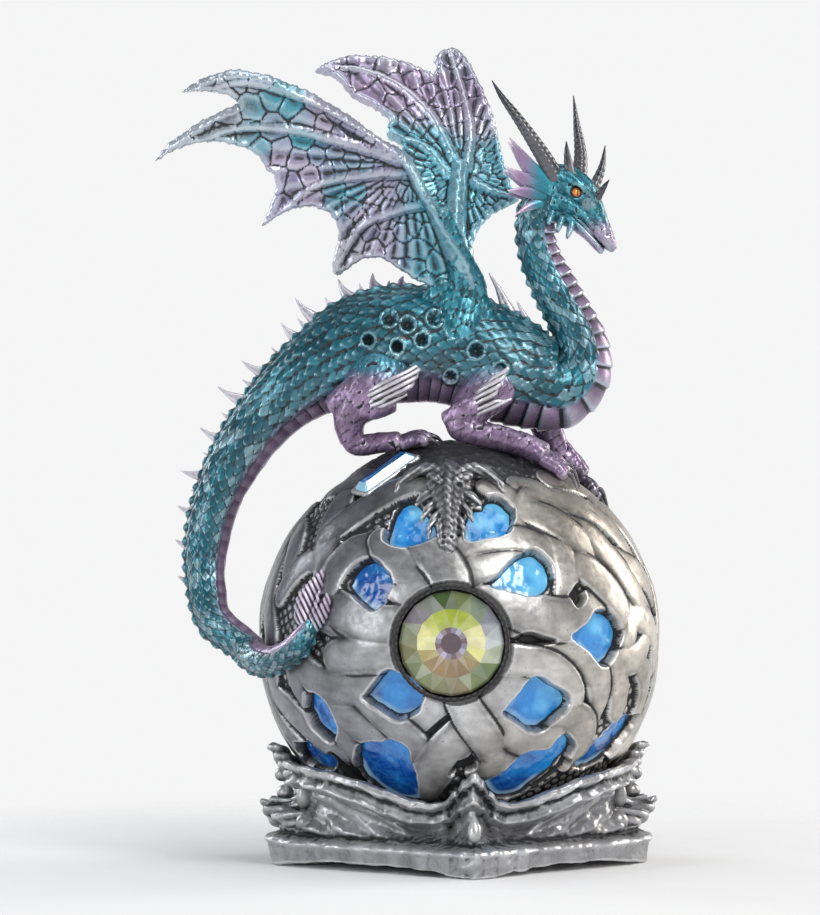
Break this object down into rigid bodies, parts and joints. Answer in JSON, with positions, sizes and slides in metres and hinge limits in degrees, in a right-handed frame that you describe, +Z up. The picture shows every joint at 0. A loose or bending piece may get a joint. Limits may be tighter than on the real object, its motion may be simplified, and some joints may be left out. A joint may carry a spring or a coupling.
{
  "type": "light-up knotwork orb with standing dragon",
  "caption": "Cast orb of interlaced bands with lit windows and a faceted front crystal, on a four-armed base, with a winged dragon on its crown and its tail curled round the front.",
  "frame": {"origin": "on the orb's upright axis, in the plane of the base's flat underside", "axes": "+Z up, -Y towards the viewer, which the crystal faces, +X to the viewer's right, where the dragon looks"},
  "size_m": [0.1214, 0.099, 0.2011],
  "materials": {
    "antique_silver": "antique silver paint over cast resin, dark wash in the recesses",
    "dark_bezel": "dark gunmetal paint",
    "crystal_glass": "faceted, coated on the back with shifting green, gold and violet",
    "blue_gem": "polished bar cut",
    "black_plastic": "moulded",
    "white_plastic": "moulded",
    "circuit_board": "solder mask",
    "led_dome": "clear epoxy dome",
    "plated_steel": "nickel plated",
    "contact_brass": "spring temper strip",
    "teal_scales": "teal metallic paint over cast scales, dark wash",
    "plum_skin": "plum metallic paint, dark wash",
    "dark_horn": "dark gunmetal paint",
    "silver_spikes": "silver paint with a dark wash",
    "wing_skin": "silver, plum and cyan paint blended over cast cells",
    "orange_eye": "gloss paint",
    "blue_globe": "translucent tinted acrylic, lit from inside"
  },
  "bodies": {
    "figure": {"orb_shell": "antique_silver", "light_globe": "blue_globe", "crystal_bezel": "dark_bezel", "crystal": "crystal_glass", "bar_gem": "blue_gem", "bar_gem_seat": "antique_silver", "mask_relief": "antique_silver", "mask_horns": "antique_silver", "base_casting": "antique_silver", "base_rims": "antique_silver", "arm_scrolls": "antique_silver", "side_beads": "antique_silver", "almond_beads": "antique_silver", "puck_case": "black_plastic", "puck_lid": "black_plastic", "led_board": "circuit_board", "led": "led_dome", "button_cells": "plated_steel", "cell_contacts": "contact_brass", "switch_body": "black_plastic", "lid_screws": "plated_steel", "dragon_torso": "teal_scales", "dragon_neck": "teal_scales", "dragon_head": "teal_scales", "long_horns": "dark_horn", "small_horns": "dark_horn", "ear_frills": "plum_skin", "dragon_eyes": "orange_eye", "back_spikes": "silver_spikes", "tail_root": "teal_scales", "tail_sweep": "teal_scales", "tail_end": "teal_scales", "tail_fin": "plum_skin", "near_wing": "wing_skin", "far_wing": "wing_skin", "wing_pins": "plated_steel", "near_hind_leg": "plum_skin", "far_hind_leg": "plum_skin", "near_foreleg": "plum_skin", "far_foreleg": "plum_skin", "leg_spurs": "silver_spikes", "dragon_claws": "dark_horn"},
    "switch": {"switch_knob": "white_plastic"},
    "door": {"battery_door": "black_plastic"}
  },
  "joints": [
    {"name": "switch_slide", "type": "slide", "parent": "figure", "child": "switch", "axis": [1, 0, 0], "range_m": [0, 0.0025]},
    {"name": "door_turn", "type": "hinge", "parent": "figure", "child": "door", "pos_m": [0, 0.005, 0.001], "axis": [0, 0, 1], "range_deg": [0, 45]}
  ]
}
